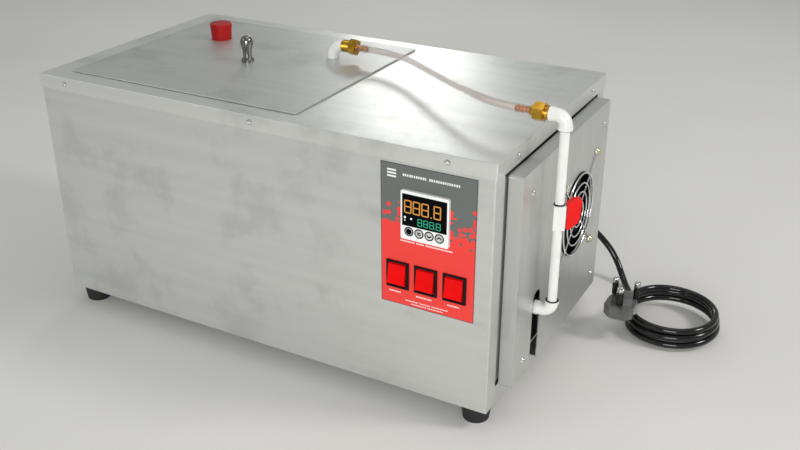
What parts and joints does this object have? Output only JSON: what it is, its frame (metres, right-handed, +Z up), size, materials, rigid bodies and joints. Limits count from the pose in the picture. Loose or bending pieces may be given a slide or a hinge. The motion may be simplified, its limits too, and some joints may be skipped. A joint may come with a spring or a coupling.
{
  "type": "water bath",
  "caption": "Benchtop circulating water bath: steel cabinet with lidded tank, control panel, side fan, outside riser with valve, clear hose and mains cord.",
  "frame": {"origin": "on the surface the feet stand on, under the middle of the object's plan outline without its mains cord and plug", "axes": "+X along the front to the riser side, +Y from the control panel to the back, +Z up"},
  "size_m": [0.7143, 0.3787, 0.3207],
  "materials": {
    "cabinet_steel": "satin stainless sheet",
    "lid_steel": "cloudy brushed stainless",
    "bright_steel": "polished plated wire and knob",
    "screw_steel": "plated screw",
    "brass": "machined brass",
    "white_pvc": "white rigid PVC",
    "valve_red": "red moulded plastic",
    "red_rubber": "red laboratory rubber",
    "black_rubber": "black rubber",
    "black_plastic": "black moulded plastic",
    "grey_plastic": "light grey moulded plastic",
    "display_window": "dark display window",
    "rocker_red": "bright red translucent plastic",
    "label_film": "printed polyester label, grey fading to red",
    "clear_hose": "clear flexible PVC",
    "black_cord": "black PVC cord",
    "plug_grey": "dark grey moulded plug",
    "insulation_wool": "mineral wool",
    "motor_paint": "painted motor case",
    "aluminium": "extruded heat sink"
  },
  "bodies": {
    "cabinet": {"cabinet_shell": "cabinet_steel", "base_plate": "cabinet_steel", "back_panel": "cabinet_steel", "top_cover": "cabinet_steel", "top_cover_screws": "screw_steel", "bath_tank": "cabinet_steel", "tank_insulation": "insulation_wool", "heater": "bright_steel", "temperature_probe": "bright_steel", "bath_shelf": "cabinet_steel", "suction_pipe": "bright_steel", "pump_housing": "black_plastic", "pump_motor": "motor_paint", "pump_bracket": "cabinet_steel", "delivery_pipe": "white_pvc", "side_cover": "cabinet_steel", "cover_rails": "cabinet_steel", "cover_spacers": "screw_steel", "side_cover_screws": "screw_steel", "fan_frame": "black_plastic", "fan_guard": "bright_steel", "fan_screws": "brass", "riser_elbow_lower": "white_pvc", "riser_elbow_upper": "white_pvc", "riser_pipe_lower": "white_pvc", "riser_pipe_upper": "white_pvc", "riser_fitting": "brass", "valve_body": "white_pvc", "control_label": "label_film", "controller_housing": "black_plastic", "controller_bezel": "grey_plastic", "controller_display": "display_window", "switch_housings": "black_plastic", "relay": "aluminium", "terminal_block": "black_plastic", "feet": "black_rubber", "foot_screws": "screw_steel", "cable_gland": "black_rubber", "hose": "clear_hose", "mains_cord": "black_cord", "cord_coil": "black_cord", "cord_tail": "black_cord", "plug_body": "plug_grey", "plug_pins": "brass"},
    "lid": {"lid_panel": "lid_steel", "lid_knob": "bright_steel", "lid_elbow": "white_pvc", "lid_fitting": "brass"},
    "stopper": {"lid_stopper": "red_rubber"},
    "valve": {"valve_handle": "valve_red", "valve_ball": "white_pvc"},
    "rocker_1": {"rocker_1": "rocker_red"},
    "rocker_2": {"rocker_2": "rocker_red"},
    "rocker_3": {"rocker_3": "rocker_red"},
    "key_1": {"key_1": "grey_plastic"},
    "key_2": {"key_2": "grey_plastic"},
    "key_3": {"key_3": "grey_plastic"},
    "key_4": {"key_4": "grey_plastic"},
    "fan_rotor": {"fan_rotor": "black_plastic"},
    "pump_rotor": {"pump_impeller": "black_plastic"}
  },
  "joints": [
    {"name": "lid_lift", "type": "slide", "parent": "cabinet", "child": "lid", "axis": [0, 0, 1], "range_m": [0, 0.06], "deforming": ["hose"]},
    {"name": "stopper_pull", "type": "slide", "parent": "lid", "child": "stopper", "axis": [0, 0, 1], "range_m": [0, 0.05]},
    {"name": "valve_turn", "type": "hinge", "parent": "cabinet", "child": "valve", "pos_m": [0.2814, -0.0672, 0.2105], "axis": [0.8788, 0.4772, 0], "range_deg": [0, 90]},
    {"name": "switch_1_rock", "type": "hinge", "parent": "cabinet", "child": "rocker_1", "pos_m": [0.1507, -0.1432, 0.1521], "axis": [1, 0, 0], "range_deg": [0, 20]},
    {"name": "switch_2_rock", "type": "hinge", "parent": "cabinet", "child": "rocker_2", "pos_m": [0.1811, -0.1432, 0.1521], "axis": [1, 0, 0], "range_deg": [0, 20]},
    {"name": "switch_3_rock", "type": "hinge", "parent": "cabinet", "child": "rocker_3", "pos_m": [0.2116, -0.1432, 0.1521], "axis": [1, 0, 0], "range_deg": [0, 20]},
    {"name": "key_1_press", "type": "slide", "parent": "cabinet", "child": "key_1", "axis": [0, 1, 0], "range_m": [0, 0.0008], "stiffness_N_per_m": 400},
    {"name": "key_2_press", "type": "slide", "parent": "cabinet", "child": "key_2", "axis": [0, 1, 0], "range_m": [0, 0.0008], "stiffness_N_per_m": 400},
    {"name": "key_3_press", "type": "slide", "parent": "cabinet", "child": "key_3", "axis": [0, 1, 0], "range_m": [0, 0.0008], "stiffness_N_per_m": 400},
    {"name": "key_4_press", "type": "slide", "parent": "cabinet", "child": "key_4", "axis": [0, 1, 0], "range_m": [0, 0.0008], "stiffness_N_per_m": 400},
    {"name": "fan_spin", "type": "hinge", "parent": "cabinet", "child": "fan_rotor", "pos_m": [0.2524, 0.0378, 0.1657], "axis": [1, 0, 0], "continuous": true},
    {"name": "pump_spin", "type": "hinge", "parent": "cabinet", "child": "pump_rotor", "pos_m": [0.1304, -0.0667, 0.084], "axis": [0, 1, 0], "continuous": true}
  ]
}
